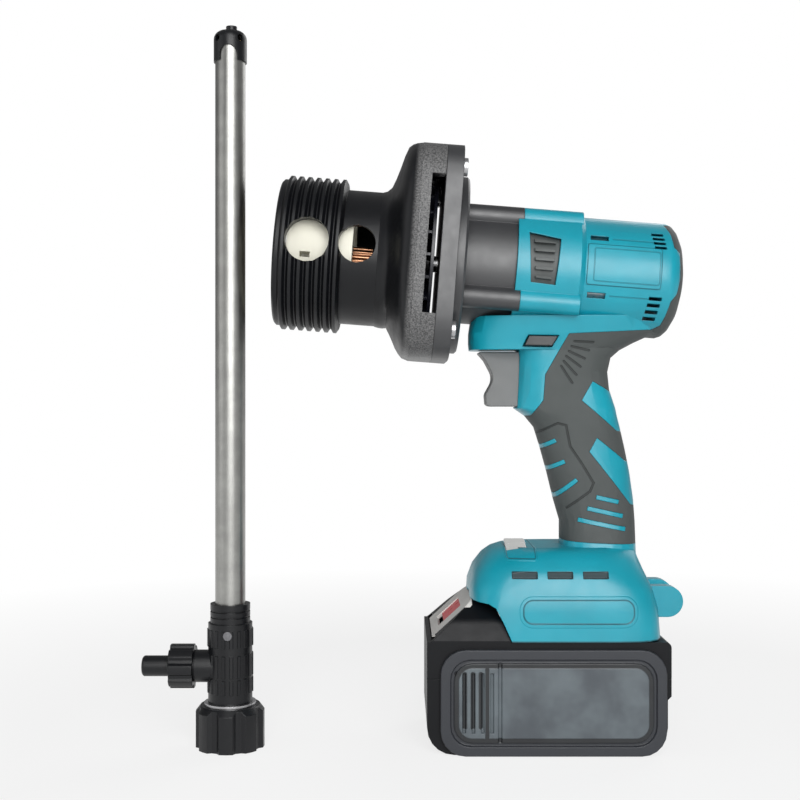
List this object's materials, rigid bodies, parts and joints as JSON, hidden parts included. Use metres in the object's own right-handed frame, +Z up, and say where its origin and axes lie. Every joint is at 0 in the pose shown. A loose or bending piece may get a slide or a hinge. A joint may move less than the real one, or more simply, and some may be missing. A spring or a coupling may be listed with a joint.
{
  "type": "battery bucket pump",
  "caption": "Cordless pistol-grip drive unit on its slide-on battery, with a wide threaded collar, and a separate slim tube pump for emptying buckets that stands beside it on its swivel nut",
  "frame": {"origin": "middle of the battery pack's flat base, which stands on the ground", "axes": "+Z up; -X towards the nose and its threaded collar; +Y towards the side without the collar's windows"},
  "size_m": [0.2588, 0.0998, 0.341],
  "materials": {
    "teal_shell": "satin",
    "grip_rubber": "matt",
    "black_plastic": "satin",
    "grey_plastic": "fine grain",
    "steel": "bright",
    "magnet": "matt",
    "copper_metal": "satin",
    "cream_plastic": "satin",
    "board": "satin",
    "lens": "clear film",
    "red_plastic": "gloss",
    "pale_plastic": "satin",
    "aluminium": "drawn",
    "brass": "satin",
    "seal_rubber": "matt",
    "cell_wrap": "gloss",
    "wire": "satin"
  },
  "bodies": {
    "driver": {"left_shell": "teal_shell", "right_shell": "teal_shell", "left_grip": "grip_rubber", "right_grip": "grip_rubber", "left_vent_insert": "grey_plastic", "right_vent_insert": "grey_plastic", "shell_screws": "steel", "nose_housing": "grey_plastic", "nose_screws": "steel", "drive_housing": "black_plastic", "rear_plate": "black_plastic", "plate_screws": "steel", "coupling_seat": "cream_plastic", "motor_can": "steel", "magnets": "magnet", "brush_holder": "black_plastic", "carbon_brushes": "magnet", "rear_bearing": "steel", "middle_bearing": "steel", "front_bearing": "steel", "switch_body": "black_plastic", "control_board": "board", "indicator_lens": "lens", "terminal_block": "black_plastic", "motor_leads": "wire", "trigger_spring": "steel"},
    "rotor": {"motor_shaft": "steel", "armature": "steel", "commutator": "copper_metal", "cooling_fan": "aluminium", "drive_dog": "copper_metal"},
    "trigger_part": {"trigger": "grey_plastic"},
    "selector": {"direction_selector": "black_plastic"},
    "battery": {"battery_lower_case": "grey_plastic", "battery_upper_case": "grey_plastic", "left_side_panel": "black_plastic", "right_side_panel": "black_plastic", "battery_cells": "cell_wrap", "battery_board": "board", "battery_terminals": "brass", "battery_screws": "steel", "latch_bezel": "pale_plastic", "latch_spring": "steel"},
    "release": {"release_button": "red_plastic"},
    "tube_unit": {"outer_tube": "aluminium", "foot_cap": "black_plastic", "tee_body": "black_plastic", "tee_screw": "steel", "hose_spigot": "black_plastic", "outlet_seal": "seal_rubber", "retaining_ring": "steel", "shaft_seal": "seal_rubber", "upper_bush": "cream_plastic", "lower_bush": "cream_plastic"},
    "swivel": {"swivel_nut": "black_plastic"},
    "union_nut": {"outlet_nut": "black_plastic"},
    "pump_rotor": {"pump_shaft": "steel", "impeller": "brass", "driven_dog": "steel"}
  },
  "joints": [
    {"name": "rotor_spin", "type": "hinge", "parent": "driver", "child": "rotor", "pos_m": [0, 0, 0.2265], "axis": [0.9971, 0, -0.0767], "continuous": true},
    {"name": "trigger_pull", "type": "slide", "parent": "driver", "child": "trigger_part", "axis": [1, 0, 0], "range_m": [0, 0.006], "stiffness_N_per_m": 900, "springref_m": -0.004, "deforming": ["trigger_spring"]},
    {"name": "selector_slide", "type": "slide", "parent": "driver", "child": "selector", "axis": [0, 1, 0], "range_m": [-0.002, 0.002]},
    {"name": "battery_slide", "type": "slide", "parent": "driver", "child": "battery", "axis": [-1, 0, 0], "range_m": [0, 0.062]},
    {"name": "release_press", "type": "slide", "parent": "battery", "child": "release", "axis": [0, 0, -1], "range_m": [0, 0.003], "stiffness_N_per_m": 1200, "springref_m": -0.003, "deforming": ["latch_spring"]},
    {"name": "tube_unit_apart", "type": "slide", "parent": "driver", "child": "tube_unit", "axis": [-1, 0, 0], "range_m": [0, 0.1]},
    {"name": "swivel_nut_spin", "type": "hinge", "parent": "tube_unit", "child": "swivel", "pos_m": [-0.1495, -0.019, 0.01], "axis": [0, 0, 1], "continuous": true},
    {"name": "outlet_nut_spin", "type": "hinge", "parent": "tube_unit", "child": "union_nut", "pos_m": [-0.172, -0.019, 0.0379], "axis": [1, 0, 0], "continuous": true},
    {"name": "pump_rotor_spin", "type": "hinge", "parent": "tube_unit", "child": "pump_rotor", "pos_m": [-0.1495, -0.019, 0.17], "axis": [0, 0, 1], "continuous": true}
  ]
}
